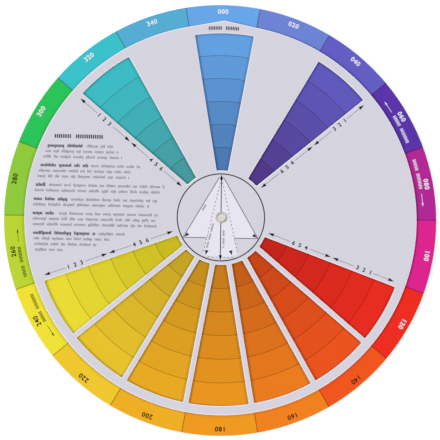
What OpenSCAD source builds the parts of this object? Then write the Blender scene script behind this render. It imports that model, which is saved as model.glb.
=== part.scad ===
// Color mixing wheel: a round printed card between two turning dials with windows,
// held together by one brass eyelet. It lies on its back dial, front face up.
// Millimetres. The origin is on the pivot, in the plane that the wheel rests on.
// The front dial's pointer is towards +Y. Angles run clockwise from there, seen from the front.

/* [Base card] */
// Diameter of the base card
base_d = 235; // [215:1:260]
// Thickness of the base card's core board
core_t = 0.4; // [0.3:0.05:0.8]
// Number of hue segments round the base card
sector_count = 18; // [18:1:24]

/* [Dials] */
// Width of the base card's rim that a dial leaves showing
rim_w = 11; // [8:0.1:16]
// Rise of a dial's pointer above its round edge
pointer_rise = 2.2; // [1:0.1:4]
// Thickness of a dial's board
board_t = 0.4; // [0.35:0.05:0.8]

/* [Windows] */
// Card left between a dial's edge and the outer end of its windows
window_border = 4.9; // [3:0.1:9]
// Diameter of the plain disc inside the windows
hub_d = 51.4; // [44:0.2:64]
// Width of the card left between two neighbouring windows
spoke_w = 2.8; // [2.4:0.1:5]
// Radius of a window's corners
corner_r = 0.6; // [0.2:0.1:2]

/* [Facings] */
// Thickness of a printed facing
facing_t = 0.1; // [0.08:0.02:0.2]
// Bare board left round a dial's facing at every cut edge
facing_margin = 0.4; // [0.1:0.05:0.8]

/* [Fit] */
// Air between the base card and each dial, which real card keeps by bowing a little
card_gap = 0.3; // [0.1:0.05:0.5]
// Running gap between the eyelet and each card
turn_gap = 0.05; // [0.03:0.01:0.08]

/* [Eyelet] */
// Diameter of the eyelet's bore
eyelet_bore_d = 4.2; // [3.4:0.1:5]
// Wall of the eyelet's barrel
eyelet_wall = 0.3; // [0.2:0.05:0.4]
// Reach of the flanges beyond the barrel
flange_reach = 0.55; // [0.4:0.05:1]
// Thickness of the rolled flange on the front
front_flange_t = 0.3; // [0.2:0.05:0.5]
// Thickness of the clinched flange on the back
back_flange_t = 0.2; // [0.14:0.02:0.24]

/* [Hidden] */

// Windows of each dial: one letter for each hue segment, clockwise from the pointer as seen from
// the front, with o for a window and . for plain card
front_windows = "o.o...ooooooo...o.";
back_windows = "o..o..o..o..o..o..";

sector_a = 360 / sector_count;
half_a = sector_a / 2;
base_r = base_d / 2;
dial_r = base_r - rim_w;
pointer_a = acos(dial_r / (dial_r + pointer_rise));
window_r0 = hub_d / 2;
window_r1 = dial_r - window_border;

bore_r = eyelet_bore_d / 2;
barrel_r = bore_r + eyelet_wall;
flange_r = barrel_r + flange_reach;
pivot_r = barrel_r + turn_gap;
seat_r = flange_r + turn_gap;
seat_t = back_flange_t + 2 * turn_gap;

// Heights of the layers, from the plane that the wheel rests on
back_board_z = facing_t;
back_sheet_z = 0;
base_back_z = back_board_z + board_t + card_gap;
core_z = base_back_z + facing_t;
base_front_z = core_z + core_t;
front_board_z = base_front_z + facing_t + card_gap;
front_sheet_z = front_board_z + board_t;
flange_z = front_sheet_z + facing_t + turn_gap;
eyelet_z0 = turn_gap;
eyelet_z1 = flange_z + front_flange_t;

// Steps along the arcs of the outlines
dial_steps = 170;
window_outer_steps = 12;
window_inner_steps = 6;
corner_steps = 5;
lip_steps = 8;
// Cuts run this far past the faces that they open
cut_over = 1;
$fn = 96;

board_white = [0.95, 0.95, 0.96];
dial_grey = [0.80, 0.79, 0.84];
hue_orange = [0.94, 0.61, 0.14];
tint_blue = [0.60, 0.76, 0.92];
brass = [0.78, 0.76, 0.70];

// Point at radius r and clockwise angle a
function polar(r, a) = r * [sin(a), cos(a)];

// Points along an arc about a centre, from clockwise angle a0 to a1
function arc(centre, r, a0, a1, steps) =
    [for (i = [0 : steps]) centre + polar(r, a0 + (a1 - a0) * i / steps)];

function mirrored(p) = [-p[0], p[1]];

// Outline of a dial of radius r: a circle, and two of its tangents that meet in a pointer at the top
function dial_outline(r) =
    concat([polar(r / cos(pointer_a), 0)], arc([0, 0], r, pointer_a, 360 - pointer_a, dial_steps));

// Centre of a corner's circle: on the right of the window, at radius r, at distance d inside
// the radial line that bounds the segment
function corner_centre(r, d) =
    d * [-cos(half_a), sin(half_a)] + sqrt(r * r - d * d) * [sin(half_a), cos(half_a)];

function clock_angle(p) = atan2(p[0], p[1]);

// Outline of the window at the top, grown by g on every side: two arcs about the pivot,
// two sides parallel to the segment's radial lines, and four round corners
function window_outline(g) =
    let (
        r0 = window_r0 - g,
        r1 = window_r1 + g,
        c = corner_r + g,
        d = spoke_w / 2 - g + c,
        outer = corner_centre(r1 - c, d),
        inner = corner_centre(r0 + c, d),
        outer_a = clock_angle(outer),
        inner_a = clock_angle(inner),
        side_a = 90 + half_a
    )
    concat(
        arc([0, 0], r1, -outer_a, outer_a, window_outer_steps),
        arc(outer, c, outer_a, side_a, corner_steps),
        arc(inner, c, side_a, 180 + inner_a, corner_steps),
        arc([0, 0], r0, inner_a, -inner_a, window_inner_steps),
        arc(mirrored(inner), c, 180 - inner_a, 360 - side_a, corner_steps),
        arc(mirrored(outer), c, 360 - side_a, 360 - outer_a, corner_steps)
    );

// One layer of a dial from height z, set back by g from the dial's cut edges
module dial_layer(windows, z, t, g) {
    translate([0, 0, z])
        difference() {
            linear_extrude(t) polygon(dial_outline(dial_r - g));
            for (i = [0 : len(windows) - 1])
                if (windows[i] == "o")
                    rotate(-i * sector_a)
                        translate([0, 0, -cut_over])
                            linear_extrude(t + 2 * cut_over) polygon(window_outline(g));
            pivot_hole(t);
        }
}

// One layer of the base card from height z
module base_layer(z, t) {
    translate([0, 0, z])
        difference() {
            cylinder(r = base_r, h = t);
            pivot_hole(t);
        }
}

// Running hole for the eyelet's barrel through a layer of thickness t
module pivot_hole(t) {
    translate([0, 0, -cut_over])
        cylinder(r = pivot_r, h = t + 2 * cut_over);
}

// Seat pressed into the back dial round the clinched flange
module flange_seat() {
    translate([0, 0, -cut_over])
        cylinder(r = seat_r, h = seat_t + cut_over);
}

module base_core() {
    color(board_white) base_layer(core_z, core_t);
}

module base_front_sheet() {
    color(hue_orange) base_layer(base_front_z, facing_t);
}

module base_back_sheet() {
    color(tint_blue) base_layer(base_back_z, facing_t);
}

module front_dial_board() {
    color(board_white) dial_layer(front_windows, front_board_z, board_t, 0);
}

module front_dial_sheet() {
    color(dial_grey) dial_layer(front_windows, front_sheet_z, facing_t, facing_margin);
}

module back_dial_board() {
    color(board_white)
        difference() {
            dial_layer(back_windows, back_board_z, board_t, 0);
            flange_seat();
        }
}

module back_dial_sheet() {
    color(dial_grey)
        difference() {
            dial_layer(back_windows, back_sheet_z, facing_t, facing_margin);
            flange_seat();
        }
}

// The eyelet's section: a barrel, a rolled flange in front, a clinched flange behind,
// and a mouth that rounds from the bore onto each flange
module eyelet() {
    front_lip = front_flange_t / 2;
    back_lip = back_flange_t / 2;
    section = concat(
        arc([bore_r + eyelet_wall, eyelet_z1 - eyelet_wall], eyelet_wall, 270, 360, lip_steps),
        arc([flange_r - front_lip, eyelet_z1 - front_lip], front_lip, 0, 180, lip_steps),
        [[barrel_r, flange_z], [barrel_r, eyelet_z0 + back_flange_t]],
        arc([flange_r - back_lip, eyelet_z0 + back_lip], back_lip, 0, 180, lip_steps),
        arc([bore_r + eyelet_wall, eyelet_z0 + eyelet_wall], eyelet_wall, 180, 270, lip_steps)
    );
    color(brass) rotate_extrude() polygon(section);
}

base_core();
base_front_sheet();
base_back_sheet();
front_dial_board();
front_dial_sheet();
back_dial_board();
back_dial_sheet();
eyelet();
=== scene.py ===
# %% [markdown]
# # Dressing a color mixing wheel
# The wheel is a round printed card between two turning dials, on one brass eyelet. Its solids arrive ready
# made, at their real size, so this lesson never moves or reshapes them. It gives them paper, print and
# metal, and lays the finer print on top as thin plates of ink. The first cell loads the solids and gives a
# way to read their box.

import bmesh
import bpy
import numpy as np
from mathutils import Matrix, Vector


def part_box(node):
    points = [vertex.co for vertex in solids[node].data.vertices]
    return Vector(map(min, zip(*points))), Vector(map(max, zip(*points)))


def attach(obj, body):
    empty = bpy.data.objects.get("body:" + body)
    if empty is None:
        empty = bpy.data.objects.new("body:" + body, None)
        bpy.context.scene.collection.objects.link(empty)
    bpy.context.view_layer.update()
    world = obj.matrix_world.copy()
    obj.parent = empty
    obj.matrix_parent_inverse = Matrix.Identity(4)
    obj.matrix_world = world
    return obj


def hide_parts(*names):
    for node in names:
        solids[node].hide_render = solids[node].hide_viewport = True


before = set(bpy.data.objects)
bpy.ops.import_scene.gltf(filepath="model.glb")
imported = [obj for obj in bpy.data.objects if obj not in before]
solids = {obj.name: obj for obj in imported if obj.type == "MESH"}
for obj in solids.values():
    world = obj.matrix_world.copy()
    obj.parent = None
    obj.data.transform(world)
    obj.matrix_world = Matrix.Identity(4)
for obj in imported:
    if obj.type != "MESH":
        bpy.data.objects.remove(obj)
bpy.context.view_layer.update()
print("solids:", ", ".join(sorted(solids)))

# %% [markdown]
# Measure before making. The heights of the printed faces and the cards' radii can be read from the solids,
# so they are. What is only printed, such as the rows of tones and shades, has no solid, and its sizes are
# written here in millimetres. Eighteen hues share the full turn, and six rows lie half an inch apart.

# %% Sizes that the print follows
MM = 0.001
HUE_COUNT = 18
HUE_STEP = 360 / HUE_COUNT
ROW_COUNT = 6
ROW_DEPTH = 12.7 * MM
ROW_START = 25.8 * MM
PRINT_TURN = -0.45
INK_T = 0.012 * MM

card_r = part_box("base_front_sheet")[1].x
rim_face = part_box("base_front_sheet")[1].z
dial_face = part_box("front_dial_sheet")[1].z
dial_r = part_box("front_dial_board")[1].x
print(f"card radius {card_r / MM:.1f} mm, dial radius {dial_r / MM:.1f} mm")
print(f"rim face at {rim_face / MM:.2f} mm, dial face at {dial_face / MM:.2f} mm")

# %% [markdown]
# The camera comes early, so that every later render shows the wheel as the photograph does: face on, from
# about 0.8 m, tipped a few degrees. A turn is given as an axis whose length is the angle. The lens follows
# from the focal length in pixels and the picture's width, on Blender's usual 36 mm sensor.

# %% Camera
PICTURE_PX = 440
FOCAL_PX = 1500
SENSOR = 36
CAMERA_TURN = Vector((5.32, -2.39, 1.03))
CAMERA_PLACE = Vector((-0.83, -1.36, 813.9)) * MM

camera = bpy.data.objects.new("camera", bpy.data.cameras.new("camera"))
camera.data.sensor_width = SENSOR
camera.data.lens = SENSOR * FOCAL_PX / PICTURE_PX
tip = Matrix.Rotation(np.radians(CAMERA_TURN.length), 4, CAMERA_TURN)
camera.matrix_world = Matrix.Translation((0, 0, dial_face)) @ tip @ Matrix.Translation(CAMERA_PLACE)
bpy.context.scene.collection.objects.link(camera)
bpy.context.scene.camera = camera
print(f"lens {camera.data.lens:.1f} mm")

# %% [markdown]
# Shader maths reads better as Python than as a web of nodes. This small class wraps one output socket. Plus,
# minus, times and divide on it add Math nodes, and `add` makes any other node: first its settings, then the
# values or links of its sockets. Colours go through Mix, because a Math node would turn them grey.


# %% Node arithmetic
class Wire:
    """One output socket of a node tree, with arithmetic."""

    def __init__(self, tree, socket=None):
        self.tree = tree
        self.socket = socket

    def add(self, kind, settings=None, sockets=None, output=0):
        """Makes a node of this kind and returns one of its outputs."""
        node = self.tree.nodes.new(kind)
        for name, value in (settings or {}).items():
            if name == "stops":
                set_stops(node.color_ramp, value)
            else:
                setattr(node, name, value)
        for key, value in (sockets or {}).items():
            if isinstance(value, Wire):
                self.tree.links.new(value.socket, node.inputs[key])
            else:
                node.inputs[key].default_value = value
        return Wire(self.tree, node.outputs[output] if node.outputs else None)

    def out(self, name):
        """Another output of the same node."""
        return Wire(self.tree, self.socket.node.outputs[name])

    def math(self, operation, *others):
        """A Math node with this socket as its first value."""
        return self.add("ShaderNodeMath", {"operation": operation}, dict(enumerate((self, *others))))

    def mix(self, factor, first, second):
        """A colour between two colours."""
        return self.add("ShaderNodeMix", {"data_type": "RGBA"}, {0: factor, 6: first, 7: second}, 2)

    def __add__(self, other):
        return self.math("ADD", other)

    def __mul__(self, other):
        return self.math("MULTIPLY", other)

    def __sub__(self, other):
        return self.math("SUBTRACT", other)

    def __truediv__(self, other):
        return self.math("DIVIDE", other)

    def __rsub__(self, other):
        return self.add("ShaderNodeMath", {"operation": "SUBTRACT"}, {0: other, 1: self})

    def __rtruediv__(self, other):
        return self.add("ShaderNodeMath", {"operation": "DIVIDE"}, {0: other, 1: self})

    __radd__ = __add__
    __rmul__ = __mul__


def set_stops(ramp, colours):
    """Even steps of colour with hard edges, from 0 to 1."""
    ramp.interpolation = "CONSTANT"
    ramp.elements.remove(ramp.elements[1])
    ramp.elements[0].position = 0.0
    ramp.elements[0].color = colours[0]
    for index, colour in enumerate(colours[1:], 1):
        ramp.elements.new(index / len(colours)).color = colour


def paint(red, green, blue):
    """Linear colour for the nodes, by the sRGB curve, from channels of 0 to 255 as print shops name them."""
    share = np.array([red, green, blue]) / 255
    linear = np.where(share <= 0.04045, share / 12.92, ((share + 0.055) / 1.055) ** 2.4)
    return (*linear.tolist(), 1.0)


# %% [markdown]
# A pale, even studio. The world's upper half gives under half of the light. Three soft lamps give the rest,
# the strongest on the left. Together they light the front to the level at which a colour renders about as it
# is written. The lamps stand low, because each window is only half a millimetre deep and would hardly show a
# shadow under a high lamp. The world's lower half is bright enough to light the back alone. Where the
# background itself is seen, directly or in a reflection, it is plain white, and the lamps are left out of
# reflections. The floor keeps the wheel's shadow. It is see-through from below and blocks no light, so the
# back can be looked at.

# %% Light and floor
WHITE = (1, 1, 1, 1)
SKY_SHARE = 0.42
# Direction to each lamp, and its share of the light on a level face
LAMPS = {
    "left_lamp": ((-1.93, -0.7, 1.0), 0.30),
    "upper_left_lamp": ((-1.32, 1.57, 1.0), 0.10),
    "right_lamp": ((2.02, 0.36, 1.0), 0.18),
}
LAMP_SPREAD = 12
FLOOR_GREY = (0.8, 0.8, 0.8, 1)
FLOOR_GLOW = 0.43
FLOOR_SIZE = 4.0
FLOOR_DROP = 0.02 * MM


def background_rays(wire):
    """1 for camera, glossy and transmission rays, which show the background itself, and 0 for the rest."""
    rays = wire.add("ShaderNodeLightPath")
    seen = rays.out("Is Camera Ray") + rays.out("Is Glossy Ray") + rays.out("Is Transmission Ray")
    return seen.math("MINIMUM", 1.0)


world = bpy.data.worlds.new("studio")
world.use_nodes = True
world.node_tree.nodes.clear()
sky = Wire(world.node_tree)
looking = sky.add("ShaderNodeTexCoord", output="Generated")
below = sky.add("ShaderNodeSeparateXYZ", sockets={0: looking}).out("Z").math("LESS_THAN", 0.0)
level = SKY_SHARE + (1 - SKY_SHARE) * background_rays(sky).math("MAXIMUM", below)
glow = sky.add("ShaderNodeBackground", sockets={"Color": WHITE, "Strength": level})
sky.add("ShaderNodeOutputWorld", sockets={"Surface": glow})
bpy.context.scene.world = world

for name, (direction, share) in LAMPS.items():
    towards = Vector(direction).normalized()
    lamp = bpy.data.objects.new(name, bpy.data.lights.new(name, "SUN"))
    lamp.data.energy = share * np.pi / towards.z
    lamp.data.angle = np.radians(LAMP_SPREAD)
    lamp.rotation_euler = towards.to_track_quat("Z", "Y").to_euler()
    lamp.visible_glossy = False
    bpy.context.scene.collection.objects.link(lamp)
    print(f"{name}: strength {lamp.data.energy:.2f}")

floor_paint = bpy.data.materials.new("pale_floor")
floor_paint.use_nodes = True
floor_paint.node_tree.nodes.clear()
ground = Wire(floor_paint.node_tree)
matt = ground.add("ShaderNodeBsdfDiffuse", sockets={"Color": FLOOR_GREY})
bright = ground.add("ShaderNodeEmission", sockets={"Strength": FLOOR_GLOW})
lifted = ground.add("ShaderNodeAddShader", sockets={0: matt, 1: bright})
above = ground.add("ShaderNodeMixShader", sockets={0: background_rays(ground), 1: matt, 2: lifted})
clear = ground.add("ShaderNodeBsdfTransparent")
under = ground.add("ShaderNodeNewGeometry", output="Backfacing")
sides = ground.add("ShaderNodeMixShader", sockets={0: under, 1: above, 2: clear})
ground.add("ShaderNodeOutputMaterial", sockets={"Surface": sides})

half = FLOOR_SIZE / 2
floor_mesh = bpy.data.meshes.new("floor")
corners = np.array([[-half, -half], [half, -half], [half, half], [-half, half]])
floor_mesh.from_pydata(np.insert(corners, 2, -FLOOR_DROP, 1).tolist(), [], [[0, 1, 2, 3]])
floor_mesh.materials.append(floor_paint)
floor = bpy.data.objects.new("floor", floor_mesh)
floor.visible_diffuse = False
floor.visible_shadow = False
bpy.context.scene.collection.objects.link(floor)
view = bpy.context.scene.view_settings
view.view_transform = "Standard"
print("view transform", view.view_transform)

# %% [markdown]
# Every material below ends the same way, so that part is one function. What varies over the surface, such as
# colour, roughness and a bump's height, arrives as links. What is even all over sits on the shader's own
# sockets. Noise is asked for by the size of its grain in metres, which is easier to judge than a scale. Most
# finishes need it in several sizes at once, so one function adds up such layers.


# %% How a material starts and ends
def start_material(name):
    """A new material without nodes, and a wire into its tree."""
    material = bpy.data.materials.new(name)
    material.use_nodes = True
    material.node_tree.nodes.clear()
    return material, Wire(material.node_tree)


def object_place(wire):
    """The point that is shaded, in the part's own metres."""
    return wire.add("ShaderNodeTexCoord", output="Object")


def grain(wire, size, stretch=(1, 1, 1), detail=2.0):
    """Noise from 0 to 1 whose grains are about this size, in metres, drawn out along the axes."""
    frequency = [1 / (size * share) for share in stretch]
    mapping = {"Vector": object_place(wire), "Scale": frequency}
    place = wire.add("ShaderNodeMapping", sockets=mapping)
    return wire.add("ShaderNodeTexNoise", sockets={"Vector": place, "Scale": 1.0, "Detail": detail})


def mottle(wire, level, *layers):
    """A level, plus noise in layers, each given as the size of its grain and its share."""
    for size, share in layers:
        level = level + grain(wire, size) * share
    return level


def end_material(wire, colour, roughness, height, depth, even):
    """Principled surface. Height, from 0 to 1, rises by depth metres, and even holds constant sockets."""
    bump = wire.add("ShaderNodeBump", sockets={"Distance": depth, "Height": height})
    links = {"Base Color": colour, "Roughness": roughness, "Normal": bump}
    shader = wire.add("ShaderNodeBsdfPrincipled", sockets={**links, **even})
    wire.add("ShaderNodeOutputMaterial", sockets={"Surface": shader})


def dress(node, material):
    """Gives a solid its finish."""
    for slot in solids[node].material_slots:
        slot.material = material
    print(node, "wears", material.name)


# %% [markdown]
# The printed card. Ink on paper under a satin film has no depth, so the hues are a pattern in the material
# and not geometry. Two polar numbers make it: the distance from the pivot and the turn from the pointer.
# The turn picks one of eighteen inks from a stepped ramp, and the colour of that ink's sixth row from
# another. The distance picks the row, and the six rows step evenly from the one colour to the other:
# towards a warm black on the front, for tones and shades, and towards white on the back, for tints. Blues
# and violets take more of the black than warm inks do, and a few shades lean to another hue, so these are
# named. A ramp is looked up in a table of 256 steps, too coarse for a sharp edge, so it is read at the
# middle of a step.

# %% The eighteen inks and the printed facings
INKS = {
    "blue": paint(104, 169, 236),
    "violet_blue": paint(110, 133, 215),
    "blue_violet": paint(100, 95, 199),
    "violet": paint(91, 52, 171),
    "red_violet": paint(180, 40, 151),
    "violet_red": paint(223, 36, 145),
    "red": paint(241, 45, 32),
    "orange_red": paint(244, 87, 29),
    "red_orange": paint(245, 131, 31),
    "orange": paint(243, 156, 32),
    "yellow_orange": paint(242, 177, 36),
    "orange_yellow": paint(242, 203, 46),
    "yellow": paint(243, 229, 55),
    "green_yellow": paint(190, 215, 53),
    "yellow_green": paint(145, 205, 61),
    "green": paint(42, 198, 90),
    "blue_green": paint(59, 196, 206),
    "green_blue": paint(86, 175, 214),
}
SHADE_INK = paint(46, 2, 4)
PAPER_WHITE = paint(240, 239, 243)
NAMED_SHADES = {
    "blue": paint(77, 123, 180),
    "blue_violet": paint(81, 57, 137),
    "red_orange": paint(197, 96, 22),
    "yellow": paint(204, 189, 31),
    "blue_green": paint(70, 155, 160),
}
WARM_SHARE = 0.36
COOL_SHARE = 0.36
TINT_SHARE = 0.66
INK_CLOUD = (9 * MM, 0.04), (0.8 * MM, 0.03)
FILM = {"Specular IOR Level": 0.05}
FILM_ROUGH = 0.42, (3 * MM, 0.12)
FILM_GRAIN = 0.35 * MM
FILM_DEPTH = 0.003 * MM


def polar(wire, side):
    """Distance from the pivot in metres, and turn from the pointer, clockwise seen from side 1 or -1."""
    axes = wire.add("ShaderNodeSeparateXYZ", sockets={0: object_place(wire)})
    x = axes.out("X") * side
    y = axes.out("Y")
    return (x * x + y * y).math("SQRT"), x.math("ARCTAN2", y) / (2 * np.pi)


def blend(first, second, share):
    """The colour this share of the way from the first to the second."""
    return tuple((1 - share) * np.array(first) + share * np.array(second))


def shade(name):
    """Sixth row of an ink: its named shade, or more shade ink, the more blue than green there is in it."""
    _, green, blue, _ = INKS[name]
    share = WARM_SHARE + COOL_SHARE * max(blue - green, 0)
    return NAMED_SHADES.get(name, blend(INKS[name], SHADE_INK, share))


def printed_facing(name, side, sixth_row, line_share=0.0):
    """Hues round the turn, in rows from the ink itself at the rim to the sixth row's colour at the pivot.
    Line_share of shade ink is mixed in all over."""
    material, wire = start_material(name)
    distance, turn = polar(wire, side)
    hue_turn = (turn + (HUE_STEP / 2 - PRINT_TURN) / 360).math("FRACT")
    step_middle = ((hue_turn * HUE_COUNT).math("FLOOR") + 0.5) / HUE_COUNT
    hue = wire.add("ShaderNodeValToRGB", {"stops": list(INKS.values())}, {0: step_middle})
    deepest = wire.add("ShaderNodeValToRGB", {"stops": sixth_row}, {0: step_middle})
    row = ((distance - ROW_START) / ROW_DEPTH).math("FLOOR").math("MAXIMUM", 0.0).math("MINIMUM", ROW_COUNT)
    mixed = wire.mix(1 - row / ROW_COUNT, hue, deepest)
    colour = wire.mix(mottle(wire, line_share, *INK_CLOUD), mixed, SHADE_INK)
    roughness = mottle(wire, *FILM_ROUGH)
    end_material(wire, colour, roughness, grain(wire, FILM_GRAIN), FILM_DEPTH, FILM)
    return material


shades = [shade(name) for name in INKS]
tints = [blend(ink, PAPER_WHITE, TINT_SHARE) for ink in INKS.values()]
dress("base_front_sheet", printed_facing("hue_facing", 1, shades))
dress("base_back_sheet", printed_facing("tint_facing", -1, tints))

# %% [markdown]
# The dials wear a cool grey facing under the same film. A real grey like this is a fine dot screen with a
# slight cloudiness, and the film has a faint grain that breaks up reflections. Three noises of different
# sizes do that better than one: broad for the cloud, fine for the screen, and finest for the bump.

# %% Grey facing of the dials
DIAL_GREY = paint(217, 215, 226)
DIAL_GREY_DEEP = paint(199, 197, 209)
SCREEN_CLOUD = 0.0, (14 * MM, 0.22), (0.5 * MM, 0.2)
SCREEN_ROUGH = 0.46, (4 * MM, 0.1)
SCREEN_GRAIN = 0.3 * MM


def screened_grey(name):
    """A grey, mixed with a deeper one by a broad and a fine noise, under the film."""
    material, wire = start_material(name)
    colour = wire.mix(mottle(wire, *SCREEN_CLOUD), DIAL_GREY, DIAL_GREY_DEEP)
    roughness = mottle(wire, *SCREEN_ROUGH)
    end_material(wire, colour, roughness, grain(wire, SCREEN_GRAIN), FILM_DEPTH, FILM)
    return material


grey_facing = screened_grey("grey_facing")
dress("front_dial_sheet", grey_facing)

# %% [markdown]
# The boards show at every cut edge, as a white line round the windows and the dials. It is lined board: a
# white liner on the side that faces outwards, over a greyer core, so the height inside the wheel tells
# which of the two a point lies in. Board is pressed in plies, so its grain is long in the plane of the card
# and very short across it. Stretching one noise by forty to one gives those plies, and a second, even noise
# gives the fuzz that a blade leaves.

# %% Lined board
BOARD_WHITE = paint(250, 251, 254)
BOARD_PLY = paint(214, 211, 212)
BOARD_CORE = paint(160, 156, 150)
BOARD_ROUGH = 0.75
BOARD_DEPTH = 0.012 * MM
BOARD_SHEEN = {"Specular IOR Level": 0.2}
LINER_T = 0.04 * MM
PLY_T = 0.06 * MM
PLY_STRETCH = (40, 40, 1)
PLY_DETAIL = 4.0
PLY_TINT = 0.2
PLY_RISE = 0.6
FUZZ_SIZE = 0.15 * MM
FUZZ_TINT = 0.1
FUZZ_RISE = 0.4
FUZZ_ROUGH = 0.2

front_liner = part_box("front_dial_board")[1].z - LINER_T
back_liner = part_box("back_dial_board")[0].z + LINER_T


def cut_board(name):
    """White liner outside two heights and grey core between them, tinted and raised by plies and fuzz."""
    material, wire = start_material(name)
    plies = grain(wire, PLY_T, PLY_STRETCH, PLY_DETAIL)
    fuzz = grain(wire, FUZZ_SIZE)
    height = wire.add("ShaderNodeSeparateXYZ", sockets={0: object_place(wire)}).out("Z")
    outside = height.math("GREATER_THAN", front_liner) + height.math("LESS_THAN", back_liner)
    ply = wire.mix(outside, BOARD_CORE, BOARD_WHITE)
    colour = wire.mix(plies * PLY_TINT + fuzz * FUZZ_TINT, ply, BOARD_PLY)
    roughness = BOARD_ROUGH + fuzz * FUZZ_ROUGH
    end_material(wire, colour, roughness, plies * PLY_RISE + fuzz * FUZZ_RISE, BOARD_DEPTH, BOARD_SHEEN)
    return material


white_board = cut_board("white_board")
for node in ("base_core", "front_dial_board", "back_dial_board"):
    dress(node, white_board)

# %% [markdown]
# The eyelet is thin brass, rolled over at both ends. Rolling leaves fine grooves round the axis, so its
# bump is a wave of the distance from the pivot. A wave with two crests in a turn, broken up by noise, mixes
# in a browner colour and a rougher finish: painted shade that darkens the ring towards the lower right and
# the upper left.

# %% Brass eyelet
BRASS = paint(224, 217, 209)
# Painted shade: a darker, browner brass for two opposite sides of the ring
BRASS_PAINTED_SHADE = paint(92, 78, 66)
BRASS_ROUGH = 0.22
METAL = {"Metallic": 1.0}
PAINTED_SHADE_TURN = 0.375
SHADE_BREAKUP_GRAIN = 0.7 * MM
SHADE_BREAKUP_DETAIL = 4.0
SHADE_BREAKUP_SHARE = 0.4
PAINTED_SHADE_TINT = 0.65
PAINTED_SHADE_ROUGH = 0.2
GROOVE_PITCH = 0.09 * MM
GROOVE_DEPTH = 0.0008 * MM


def lifted_wave(wave):
    """A sine or cosine, halved and raised so that it runs from 0 to 1."""
    return wave * 0.5 + 0.5


def rolled_brass(name):
    """Grooves are a sine of the distance from the pivot, painted shade a cosine of twice the turn, and
    noise.
    """
    material, wire = start_material(name)
    distance, turn = polar(wire, 1)
    grooves = lifted_wave((distance * (2 * np.pi / GROOVE_PITCH)).math("SINE"))
    diagonal = lifted_wave(((turn - PAINTED_SHADE_TURN) * (4 * np.pi)).math("COSINE"))
    shade_breakup = grain(wire, SHADE_BREAKUP_GRAIN, detail=SHADE_BREAKUP_DETAIL)
    # Painted shade, strongest towards the lower right and the upper left, broken up by noise; it also
    # roughens the finish
    painted_shade = diagonal * (1 - SHADE_BREAKUP_SHARE) + shade_breakup * SHADE_BREAKUP_SHARE
    colour = wire.mix(painted_shade * PAINTED_SHADE_TINT, BRASS, BRASS_PAINTED_SHADE)
    roughness = BRASS_ROUGH + painted_shade * PAINTED_SHADE_ROUGH
    end_material(wire, colour, roughness, grooves, GROOVE_DEPTH, METAL)
    return material


dress("eyelet", rolled_brass("eyelet_brass"))

# %% [markdown]
# Line work is printed in a few solid inks. A solid is never quite even: it starves a little here and there
# and dries satin or matt. Each ink is one colour with a second shade of itself mixed in by two noises. The
# rules between hues are printed in those hues, only darker, so they take the facing's pattern instead.

# %% Solid inks
STARVED = 0.0, (1.5 * MM, 0.35), (0.12 * MM, 0.25)
INK_ROUGH = 0.4, (0.8 * MM, 0.2)
INK_GRAIN = 0.1 * MM
INK_DEPTH = 0.002 * MM
RULE_SHARE = 0.55


def solid_ink(name, full, starved):
    """A full colour, mixed with a starved one by a broad and a fine noise, under the film."""
    material, wire = start_material(name)
    colour = wire.mix(mottle(wire, *STARVED), full, starved)
    roughness = mottle(wire, *INK_ROUGH)
    end_material(wire, colour, roughness, grain(wire, INK_GRAIN), INK_DEPTH, FILM)
    return material


black_ink = solid_ink("black_ink", paint(26, 24, 28), paint(52, 50, 56))
grey_ink = solid_ink("grey_ink", paint(128, 126, 136), paint(160, 158, 168))
white_ink = solid_ink("white_ink", paint(234, 232, 243), paint(224, 222, 233))
brown_ink = solid_ink("brown_ink", paint(36, 29, 14), paint(58, 47, 24))
rule_ink = printed_facing("rule_ink", 1, shades, RULE_SHARE)
print("inks:", black_ink.name, grey_ink.name, white_ink.name, brown_ink.name, rule_ink.name)

# %% [markdown]
# Fine print could be one more pattern in a material, but a hairline needs more sharpness than a baked
# picture of a whole dial can hold. So it is laid on as plates of ink, twelve thousandths of a millimetre
# thick. A plate is any flat outline drawn up into a prism. Bars and arrowheads are plates with four and
# three corners, and a ring is a rectangle carried once round the pivot. Each function works on whole arrays
# and makes as many plates as it is given, as closed shapes whose faces point outwards.


# %% Plates, bars, arrowheads and rings of ink
def plates(outlines, low, high):
    """Each outline, anticlockwise seen from above, becomes a floor, a roof and a wall for each edge."""
    count, corners, _ = outlines.shape
    points = np.empty((count, 2, corners, 3))
    points[..., :2] = outlines[:, None]
    points[..., 2] = np.array([low, high])[:, None]
    first = np.arange(count)[:, None] * 2 * corners
    here = np.arange(corners)
    ahead = np.roll(here, -1)
    walls = first[..., None] + np.stack([here, ahead, ahead + corners, here + corners], -1)
    return points.reshape(-1, 3), [first + here[::-1], first + corners + here, walls.reshape(-1, 4)]


def bars(starts, ends, width):
    """Outlines of straight bars: each end point is moved half the width to either side."""
    starts, ends = np.atleast_2d(starts).astype(float), np.atleast_2d(ends).astype(float)
    along = ends - starts
    along /= np.linalg.norm(along, axis=1, keepdims=True)
    left = np.stack([-along[:, 1], along[:, 0]], 1) * width / 2
    return np.stack([starts - left, ends - left, ends + left, starts + left], 1)


def heads(tips, directions, length, width):
    """Outlines of solid arrowheads: the tip, and two corners a length behind it and half a width aside."""
    tips, along = np.atleast_2d(tips).astype(float), np.atleast_2d(directions).astype(float)
    along = along / np.linalg.norm(along, axis=1, keepdims=True)
    left = np.stack([-along[:, 1], along[:, 0]], 1) * width / 2
    behind = tips - along * length
    return np.stack([tips, behind + left, behind - left], 1)


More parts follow.
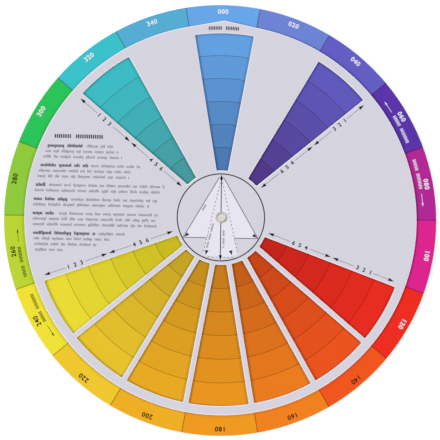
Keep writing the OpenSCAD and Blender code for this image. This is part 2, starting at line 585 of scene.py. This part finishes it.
def rings(radii, width, low, high, steps=240):
    """Flat rings: each corner of a rectangle goes round the pivot at its own radius and height."""
    angle = np.arange(steps) * 2 * np.pi / steps
    section_r = np.add.outer(radii, np.array([1, 1, -1, -1]) * width / 2)
    section_z = np.array([low, high, high, low])
    x = section_r[:, None] * np.sin(angle)[:, None]
    y = section_r[:, None] * np.cos(angle)[:, None]
    points = np.stack([x, y, np.broadcast_to(section_z, x.shape)], -1)
    index = np.arange(points[..., 0].size).reshape(points.shape[:3])
    ahead = np.roll(index, -1, 1)
    faces = np.stack([index, np.roll(index, -1, 2), np.roll(ahead, -1, 2), ahead], -1)
    return points.reshape(-1, 3), [faces.reshape(-1, 4)]


def lay(name, shapes, material, body):
    """Joins shapes into one piece of print that moves with a card."""
    starts = np.cumsum([0] + [len(points) for points, _ in shapes])
    points = np.concatenate([points for points, _ in shapes])
    groups = [group + start for start, (_, parts) in zip(starts, shapes) for group in parts]
    mesh = bpy.data.meshes.new(name)
    mesh.from_pydata(points.tolist(), [], sum((group.tolist() for group in groups), []))
    mesh.materials.append(material)
    piece = bpy.data.objects.new(name, mesh)
    bpy.context.scene.collection.objects.link(piece)
    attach(piece, body)
    print(f"{name}: {len(mesh.polygons)} faces on {body}")
    return piece


# %% [markdown]
# Places on a dial are clock angles and distances. One function turns those into points, and two more move
# finished outlines: one bends a straight line of print round the pivot, the other sets it along a heading.


# %% Places on a dial
def clock(distance, angle):
    """Point at a distance from the pivot and an angle in degrees, clockwise from the pointer."""
    turn = np.radians(angle)
    return np.stack(np.broadcast_arrays(distance * np.sin(turn), distance * np.cos(turn)), -1)


def bend(points, distance, angle):
    """Carries x along an arc at this distance, and y outwards from it."""
    flat = clock(distance + points[..., 1], angle + np.degrees(points[..., 0] / distance))
    return np.concatenate([flat, points[..., 2:]], -1)


def head_off(points, start, heading):
    """Carries x along a heading from a start point, and y to the left of it."""
    heading = np.asarray(heading) / np.linalg.norm(heading)
    left = np.array([-heading[1], heading[0]])
    flat = start + points[..., :1] * heading + points[..., 1:2] * left
    return np.concatenate([flat, points[..., 2:]], -1)


# %% [markdown]
# The rules between rows and between hues are the first plates. On paper they are the darker edge where two
# inks meet, so they wear the same polar pattern, mixed further towards the shade ink.

# %% Rules on the base card
ROW_RULE_W = 0.3 * MM
HUE_RULE_W = 0.5 * MM
RIM_CLEAR = 0.15 * MM
rim_ink = rim_face, rim_face + INK_T

row_edges = ROW_START + np.arange(1, ROW_COUNT) * ROW_DEPTH
lay("row_rules", [rings(row_edges, ROW_RULE_W, *rim_ink)], rule_ink, "base")
hue_edges = (np.arange(HUE_COUNT) + 0.5) * HUE_STEP + PRINT_TURN
spokes = bars(clock(ROW_START, hue_edges), clock(card_r - RIM_CLEAR, hue_edges), HUE_RULE_W)
lay("hue_rules", [plates(spokes, *rim_ink)], rule_ink, "base")

# %% [markdown]
# Figures give each hue's angle round the rim, in degrees, as on a compass. Blender's own typeface gives
# their outlines. A text object is made into a mesh first. Its doubled corners are merged so that it closes,
# slivers are taken out of its level faces, and its faces are turned outwards. Only then is it scaled to the
# wanted height and put in place. Thickening the outline gives the bold weight of a printed dial.

# %% Figures
FIGURE_GAP = 1e-5
FIGURE_CURVE_STEPS = 4


def in_level_faces(edge):
    """Whether the faces on both sides of an edge lie at one height."""
    return len({corner.co.z for face in edge.link_faces for corner in face.verts}) == 1


def closed_triangles(mesh, gap):
    """Corners of a mesh, merged where they lie closer than a gap, and its triangles, turned outwards."""
    work = bmesh.new()
    work.from_mesh(mesh)
    bmesh.ops.remove_doubles(work, verts=work.verts, dist=gap)
    bmesh.ops.triangulate(work, faces=work.faces)
    level_edges = [edge for edge in work.edges if in_level_faces(edge)]
    bmesh.ops.beautify_fill(work, faces=work.faces, edges=level_edges)
    bmesh.ops.recalc_face_normals(work, faces=work.faces)
    closed = bpy.data.meshes.new("closed")
    work.to_mesh(closed)
    work.free()
    points = np.empty(len(closed.vertices) * 3)
    closed.vertices.foreach_get("co", points)
    triangles = np.empty(len(closed.loops), int)
    closed.loops.foreach_get("vertex_index", triangles)
    bpy.data.meshes.remove(closed)
    return points.reshape(-1, 3), triangles.reshape(-1, 3)


def figures(text, height, bold=0.012, spacing=1.0):
    """A line of figures as a prism from z 0 to 1, centred on the origin and scaled to this height."""
    curve = bpy.data.curves.new("figures", "FONT")
    curve.body = text
    curve.extrude = 0.5
    curve.offset = bold
    curve.space_character = spacing
    curve.resolution_u = FIGURE_CURVE_STEPS
    holder = bpy.data.objects.new("figures", curve)
    bpy.context.scene.collection.objects.link(holder)
    mesh = bpy.data.meshes.new_from_object(holder.evaluated_get(bpy.context.evaluated_depsgraph_get()))
    points, triangles = closed_triangles(mesh, FIGURE_GAP)
    bpy.data.objects.remove(holder)
    bpy.data.meshes.remove(mesh)
    low, high = points.min(0), points.max(0)
    points[:, :2] = (points[:, :2] - (low + high)[:2] / 2) * height / (high - low)[1]
    points[:, 2] = (points[:, 2] - low[2]) / (high - low)[2]
    return points, [triangles]


def between(shape, low, high):
    """A shape from z 0 to 1 drawn to its real heights."""
    points, faces = shape
    return points * [1, 1, high - low] + [0, 0, low], faces


# %% [markdown]
# Each figure stands in the middle of its hue's stretch of rim. It is drawn straight and then bent, so that
# its foot follows the rim. White ink is for the blues, violets, reds and greens, and brown ink for the hues
# from orange-red to yellow-green.

# %% Figures on the rim
RIM_FIGURE_H = 2.7 * MM
RIM_FIGURE_R = 113.9 * MM
RIM_FIGURE_BOLD = 0.03
RIM_FIGURE_SPACING = 1.15
PALE_ON = (0, 1, 2, 3, 4, 5, 6, 15, 16, 17)


def rim_figure(index):
    """A hue's angle in three figures, bent round the rim at that angle."""
    degrees = f"{index * HUE_STEP:03.0f}"
    line = figures(degrees, RIM_FIGURE_H, RIM_FIGURE_BOLD, RIM_FIGURE_SPACING)
    points, faces = between(line, *rim_ink)
    return bend(points, RIM_FIGURE_R, index * HUE_STEP + PRINT_TURN), faces


DARK_ON = [index for index in range(HUE_COUNT) if index not in PALE_ON]
lay("rim_figures_white", [rim_figure(index) for index in PALE_ON], white_ink, "base")
lay("rim_figures_brown", [rim_figure(index) for index in DARK_ON], brown_ink, "base")

# %% [markdown]
# Captions in small type read as a fine grey texture at arm's length. Each line here is a row of upright
# strokes at an even pitch, grouped with gaps. A few strokes stand taller and a few hang lower, drawn from a
# seeded generator so that every run is the same. A type is given by its height, the weight of its strokes,
# their pitch, and the shares of tall and hanging strokes, if any. Heavier strokes make the bold lead-ins.

# %% Caption strokes
rng = np.random.default_rng(18)
GROUP_STROKES = (4, 13)
GAP_STROKES = 2
TWO_GROUPS = (7,)
TALL = 1.4
HANGING = -0.4


def caption(length, height, weight, pitch, tall_share=0.0, hanging_share=0.0, groups=None):
    """Outlines of one line of strokes from x 0 to length, with y 0 at half its height. Gaps, two strokes
    wide, part it into groups of these many strokes, or of a number drawn at random."""
    slots = np.arange(int(length / pitch))
    if groups is None:
        groups = rng.integers(*GROUP_STROKES, len(slots))
    gaps = np.cumsum(np.array(groups) + GAP_STROKES)
    slots = slots[~np.isin(slots, gaps) & ~np.isin(slots + 1, gaps)]
    kind = rng.random(len(slots))
    top = np.where(kind < tall_share, TALL, 1.0) * height
    bottom = np.where(kind > 1 - hanging_share, HANGING, 0.0) * height
    x = (slots + 0.5) * pitch
    return bars(np.stack([x, bottom - height / 2], 1), np.stack([x, top - height / 2], 1), weight)


# %% [markdown]
# Four hues carry a second, smaller line under their figure: a caption and an arrow that points round the
# rim. Two point each way. The line is drawn straight first, then bent round the rim.

# %% Arrows on the rim
RIM_LINE_R = 110.4 * MM
RIM_LINE_W = 0.26 * MM
RIM_HEAD_LENGTH = 2.2 * MM
RIM_HEAD_W = 1.0 * MM
RIM_TAIL = 4.75 * MM
RIM_TIP = 12.0 * MM
RIM_CAPTION_START = -14.6 * MM
RIM_CAPTION_LENGTH = 17.1 * MM
RIM_TYPE = (1.8 * MM, 0.42 * MM, 0.8 * MM)
RIM_LINES = {"white": (white_ink, [(3, -1), (4, 1)]), "brown": (brown_ink, [(12, -1), (13, 1)])}


def rim_line(index, way):
    """Shapes of one line: a bar and a head pointing clockwise or back, and a caption on the other side."""
    bar = bars([RIM_TAIL * way, 0], [(RIM_TIP - RIM_HEAD_LENGTH) * way, 0], RIM_LINE_W)
    head = heads([RIM_TIP * way, 0], [way, 0], RIM_HEAD_LENGTH, RIM_HEAD_W)
    start = RIM_CAPTION_START if way > 0 else -RIM_CAPTION_START - RIM_CAPTION_LENGTH
    strokes = caption(RIM_CAPTION_LENGTH, *RIM_TYPE, groups=TWO_GROUPS) + [start, 0]
    angle = index * HUE_STEP + PRINT_TURN
    return [plates(bend(outlines, RIM_LINE_R, angle), *rim_ink) for outlines in (bar, head, strokes)]


for name, (ink, places) in RIM_LINES.items():
    lay(f"rim_lines_{name}", sum((rim_line(*place) for place in places), []), ink, "base")

# %% [markdown]
# The middle of the front dial holds a diagram: a ring, a vertical arrow from a hue to its opposite, a solid
# triangle for three even hues, and a dashed one for a hue and the two beside its opposite. The field inside
# the triangles is paper white, a plate half as thick as the lines, so the lines lie over it. It is drawn as
# a right half and its mirror image, each with a bite for the eyelet's hole, because a plate's outline can't
# have a hole of its own. Print is never quite in register with the cut, so the dial's print is moved a
# third of a millimetre, and the bite is moved back.

# %% Field and ring of the diagram
REGISTER = np.array([-0.33, 0.1]) * MM
RING_R = 23.7 * MM
RING_W = 0.6 * MM
TRIAD_TOP = np.array([1.0, 22.0]) * MM
TRIAD_CORNER = np.array([20.3, -11.25]) * MM
SPLIT_TOP = np.array([0, 21.6]) * MM
SPLIT_FOOT = np.array([9.4, -20.0]) * MM
PIVOT_CLEAR = 2.7 * MM
SKIRT_POINTS = 7
BITE_POINTS = 25
RIGHT_SIDE = np.array([1, 1])
LEFT_SIDE = np.array([-1, 1])
dial_ink = dial_face, dial_face + INK_T


def lay_on_dial(name, shapes, ink):
    """Lays print on the front dial, moved by its error of register."""
    moved = [(points + [*REGISTER, 0], faces) for points, faces in shapes]
    lay(name, moved, ink, "front_dial")


waist_share = (SPLIT_TOP - TRIAD_CORNER)[1] / (SPLIT_TOP - SPLIT_FOOT)[1]
waist = SPLIT_TOP + (SPLIT_FOOT - SPLIT_TOP) * waist_share
foot_r = np.linalg.norm(SPLIT_FOOT)
foot_angle = np.degrees(np.arctan2(*SPLIT_FOOT))
skirt = clock(foot_r, np.linspace(180, foot_angle, SKIRT_POINTS))


def half_field(side):
    """A half of the field, drawn as the right one, anticlockwise from its foot: skirt, waist, corner, top,
    and down past the bite."""
    bite = clock(PIVOT_CLEAR, np.linspace(0, 180, BITE_POINTS)) - REGISTER * side
    return np.concatenate([skirt, [waist, TRIAD_CORNER, TRIAD_TOP, [0, TRIAD_TOP[1]]], bite])


right_half = half_field(RIGHT_SIDE)
left_half = (half_field(LEFT_SIDE) * LEFT_SIDE)[::-1]
fields = [plates(half[None], dial_face, dial_face + INK_T / 2) for half in (right_half, left_half)]
lay_on_dial("diagram_field", fields, white_ink)
lay_on_dial("diagram_ring", [rings(np.array([RING_R]), RING_W, *dial_ink)], black_ink)

# %% [markdown]
# The lines of the diagram are bars, and a dashed line is a row of short bars at an even pitch. Left and
# right are mirror images, so each line is given once, for the right, and a change of sign on x gives the
# other.

# %% Lines and dashes of the diagram
TRIAD_W = 0.34 * MM
PAIR_W = 0.5 * MM
PAIR_FAR = 22.2 * MM
DASH_LENGTH = 0.95 * MM
DASH_W = 0.45 * MM
DASH_PITCH = 2.1 * MM
FOOT_DASH_Y = -21.7 * MM
FOOT_DASH_END = 7.3 * MM


def dashes(start, end):
    """Dashes at an even pitch along a straight line."""
    length = np.linalg.norm(end - start)
    along = (end - start) / length
    at = np.arange(DASH_PITCH / 2, length, DASH_PITCH)[:, None]
    return bars(start + along * (at - DASH_LENGTH / 2), start + along * (at + DASH_LENGTH / 2), DASH_W)


both = np.array([LEFT_SIDE, RIGHT_SIDE])
triad_sides = bars(TRIAD_TOP * both, TRIAD_CORNER * both, TRIAD_W)
triad_foot = bars(TRIAD_CORNER * both, np.array([waist[0], TRIAD_CORNER[1]]) * both, TRIAD_W)
lay_on_dial("triad_lines", [plates(np.concatenate([triad_sides, triad_foot]), *dial_ink)], black_ink)
foot_dash = np.array([FOOT_DASH_END, FOOT_DASH_Y])
split_dashes = [dashes(SPLIT_TOP, SPLIT_FOOT * side) for side in both]
split_dashes.append(dashes(foot_dash * LEFT_SIDE, foot_dash))
lay_on_dial("split_dashes", [plates(np.concatenate(split_dashes), *dial_ink)], grey_ink)
pair = bars([[0, PIVOT_CLEAR], [0, -PIVOT_CLEAR]], [[0, PAIR_FAR], [0, -PAIR_FAR]], PAIR_W)
lay_on_dial("pair_line", [plates(pair, *dial_ink)], black_ink)

# %% [markdown]
# Six arrowheads end those lines: two on the vertical arrow, two at the solid triangle's lower corners and
# two at the dashed triangle's feet. The last two stand a little unevenly on the real print, so each has its
# own place.

# %% Arrowheads of the diagram
HEAD = {"length": 2.7 * MM, "width": 1.9 * MM}
PAIR_TIP = 23.3 * MM
TRIAD_TIP = np.array([19.8, -10.9]) * MM
TRIAD_WAY = np.array([1.0, -0.75])
SPLIT_TIPS = np.array([[-8.1, -20.6], [6.3, -20.6]]) * MM
SPLIT_WAY = np.array([0.3, -1.0])

pair_heads = heads([[0, PAIR_TIP], [0, -PAIR_TIP]], [[0, 1], [0, -1]], **HEAD)
triad_heads = heads(TRIAD_TIP * both, TRIAD_WAY * both, **HEAD)
split_heads = heads(SPLIT_TIPS, SPLIT_WAY * both, **HEAD)
all_heads = np.concatenate([pair_heads, triad_heads, split_heads])
lay_on_dial("diagram_heads", [plates(all_heads, *dial_ink)], black_ink)

# %% [markdown]
# Beside four of the windows two arrows lie end to end, and say which rows belong together: rows 1 to 3 and
# rows 4 to 6, counted inwards. All are the same drawing, set along the side of a window. On the left half
# of the dial they read towards the pivot and on the right half away from it, so none is upside down. A short
# bold caption stands under the pointer.

# %% Arrows and figures beside the windows
SIDE_GAP = 1.25 * MM
SIDE_ENDS = (27.0 * MM, 63.6 * MM), (64.4 * MM, 100.3 * MM)
SIDE_FIGURE_AT = 45.5 * MM, 82.6 * MM
SIDE_FIGURE_ROOM = 5.6 * MM
SIDE_FIGURE_H = 2.4 * MM
SIDE_FIGURE_BOLD = 0.03
SIDE_FIGURE_SPACING = 1.4
SIDE_HEAD_LENGTH = 3.2 * MM
SIDE_HEAD_W = 1.8 * MM
SIDE_LINE_W = 0.2 * MM
SIDE_ROWS = "4 5 6", "1 2 3"
FRONT_SIDES = (50, 1), (110, -1), (250, 1), (310, -1)
POINTER_R = 104.4 * MM
POINTER_LENGTH = 17.0 * MM
POINTER_TYPE = (1.95 * MM, 0.56 * MM, 0.94 * MM)


def side_arrow(near, far, middle):
    """Two bars with room for a figure between them, and a head at each end, along x."""
    reach = SIDE_HEAD_LENGTH / 2
    starts = [[near + reach, 0], [middle + SIDE_FIGURE_ROOM, 0]]
    ends = [[middle - SIDE_FIGURE_ROOM, 0], [far - reach, 0]]
    tips = heads([[near, 0], [far, 0]], [[-1, 0], [1, 0]], SIDE_HEAD_LENGTH, SIDE_HEAD_W)
    return bars(starts, ends, SIDE_LINE_W), tips


def side_marks(angle, way, low, high):
    """Arrows and row figures along the line at a clock angle, set off clockwise (1) or back (-1) from it."""
    start = clock(SIDE_GAP * way, angle + 90)
    outwards = clock(1.0, angle)
    reading = 1 if angle < 180 else -1
    shapes = []
    for (near, far), middle, rows in zip(SIDE_ENDS, SIDE_FIGURE_AT, SIDE_ROWS):
        for outlines in side_arrow(near, far, middle):
            shapes.append(plates(head_off(outlines, start, outwards), low, high))
        line = figures(rows[::-reading], SIDE_FIGURE_H, SIDE_FIGURE_BOLD, SIDE_FIGURE_SPACING)
        points, faces = between(line, low, high)
        points[:, 0] += middle * reading
        shapes.append((head_off(points, start, outwards * reading), faces))
    return shapes


front_marks = sum((side_marks(*side, *dial_ink) for side in FRONT_SIDES), [])
lay_on_dial("window_marks", front_marks, black_ink)
pointer_line = caption(POINTER_LENGTH, *POINTER_TYPE, groups=TWO_GROUPS) - [POINTER_LENGTH / 2, 0]
lay_on_dial("pointer_caption", [plates(bend(pointer_line, POINTER_R, 0), *dial_ink)], black_ink)

# %% [markdown]
# The caption block stands left of the diagram. Its lines start on a circle about the pivot, which keeps an
# even margin along the dial's edge. Each paragraph is a lead-in length and the lengths of its lines.

# %% Caption block
BLOCK_R = 101.8 * MM
FIRST_LINE_Y = 37.2 * MM
LINE_PITCH = 3.01 * MM
PARAGRAPH_GAP = 1.69 * MM
LEAD_GAP = 1.2 * MM
PLAIN_TYPE = (1.15 * MM, 0.25 * MM, 0.62 * MM, 0.2, 0.06)
LEAD_TYPE = (1.35 * MM, 0.52 * MM, 0.76 * MM, 0.2, 0.06)
TITLE_TYPE = (2.1 * MM, 0.7 * MM, 1.15 * MM)
TITLE_START = np.array([-91.2, 42.6]) * MM
TITLE_LENGTH = 26.5 * MM
# Length of each paragraph's lead-in, and of its lines, in millimetres
PARAGRAPHS = (
    (20, (36, 40, 43)),
    (26, (54, 50, 50)),
    (6, (70, 69)),
    (19, (67, 63)),
    (13, (68, 68, 67)),
    (34, (50, 41, 34, 15)),
)


def block_line(y, lead, length):
    """One line from the margin circle: a bold lead-in, if there is one, and the rest in plain type."""
    start = np.array([-np.sqrt(BLOCK_R**2 - y**2), y])
    if not lead:
        return [caption(length, *PLAIN_TYPE) + start]
    rest = caption(length - lead - LEAD_GAP, *PLAIN_TYPE) + start + [lead + LEAD_GAP, 0]
    return [caption(lead, *LEAD_TYPE) + start, rest]


block = [caption(TITLE_LENGTH, *TITLE_TYPE, groups=TWO_GROUPS) + TITLE_START]
line_y = FIRST_LINE_Y
for lead, lengths in PARAGRAPHS:
    for index, length in enumerate(lengths):
        block += block_line(line_y, lead * MM if index == 0 else 0, length * MM)
        line_y -= LINE_PITCH
    line_y -= PARAGRAPH_GAP
lay_on_dial("caption_block", [plates(np.concatenate(block), *dial_ink)], black_ink)

# %% [markdown]
# Three tiny captions run along the diagram's lines. Each is given by the points where it starts and ends, in
# millimetres, and its strokes are set along the heading between them.

# %% Captions in the diagram
TINY_TYPE = (1.0 * MM, 0.32 * MM, 0.46 * MM)
TINY_LINES = (
    (np.array([-4.1, -3.4]), np.array([-7.4, -16.8])),
    (np.array([1.6, -7.0]), np.array([1.6, -16.8])),
    (np.array([-10.1, 3.6]), np.array([-8.1, 6.9])),
)

tiny = []
for start, end in TINY_LINES:
    length = np.linalg.norm(end - start) * MM
    tiny.append(head_off(caption(length, *TINY_TYPE), start * MM, end - start))
lay_on_dial("diagram_captions", [plates(np.concatenate(tiny), *dial_ink)], grey_ink)

# %% [markdown]
# The back dial's face is the plane that the wheel rests on, so its print can't stand proud of it. Its
# facing is made again here, thinner by one coat of ink, and the print fills the difference. The easy way to
# the same outline and windows is a copy of the solid, with its lower corners raised.

# %% Facing of the back dial
FACING_GAP = 0.0005 * MM

facing_low, facing_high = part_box("back_dial_sheet")
points, triangles = closed_triangles(solids["back_dial_sheet"].data, FACING_GAP)
raised = points[:, 2] > (facing_low.z + facing_high.z) / 2
points[:, 2] = np.where(raised, facing_high.z, facing_low.z + INK_T)
back_facing = lay("back_dial_facing", [(points, [triangles])], grey_facing, "back_dial")
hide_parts("back_dial_sheet")

# %% [markdown]
# The back's print repeats the front's ways: a ring with a diagram, arrows and row figures beside the
# windows, and captions. All of it is drawn as seen from behind and then mirrored, so its faces are turned
# round too.

# %% Print on the back dial
BACK_FIGURE_R = 104.0 * MM
BACK_FIGURE_H = 2.4 * MM
STAR_R = 22.0 * MM
THIRD_TURN = 120
BACK_WINDOWS = np.arange(0, 360, THIRD_TURN / 2)
BACK_BLOCK_X = 46.0 * MM
BACK_BLOCK_Y = 9.0 * MM
# Lengths of the back's caption lines, in millimetres
BACK_LINES = (42, 44, 41, 45, 43, 44, 28)
back_ink = facing_low.z, facing_low.z + INK_T


def from_behind(shapes):
    """Mirrors shapes left to right, and turns their faces so that they still point outwards."""
    return [(points * [-1, 1, 1], [group[:, ::-1] for group in groups]) for points, groups in shapes]


def back_figure(number, angle):
    """A window's number, bent round the pivot at that window's clock angle."""
    points, faces = between(figures(str(number), BACK_FIGURE_H), *back_ink)
    return bend(points, BACK_FIGURE_R, angle), faces


star = bars(clock(STAR_R, BACK_WINDOWS), clock(STAR_R, BACK_WINDOWS + THIRD_TURN), TRIAD_W)
star_in_ring = [rings(np.array([RING_R]), RING_W, *back_ink), plates(star, *back_ink)]
lay("back_diagram", from_behind(star_in_ring), black_ink, "back_dial")
numbers = [back_figure(number, angle) for number, angle in enumerate(BACK_WINDOWS, 1)]
lay("back_figures", from_behind(numbers), black_ink, "back_dial")
back_marks = sum((side_marks(angle + HUE_STEP / 2, 1, *back_ink) for angle in BACK_WINDOWS), [])
lay("back_window_marks", from_behind(back_marks), black_ink, "back_dial")
back_block = []
for index, length in enumerate(BACK_LINES):
    for left in (BACK_BLOCK_X, -BACK_BLOCK_X - max(BACK_LINES) * MM):
        back_block.append(caption(length * MM, *PLAIN_TYPE) + [left, BACK_BLOCK_Y - index * LINE_PITCH])
lay("back_captions", from_behind([plates(np.concatenate(back_block), *back_ink)]), black_ink, "back_dial")
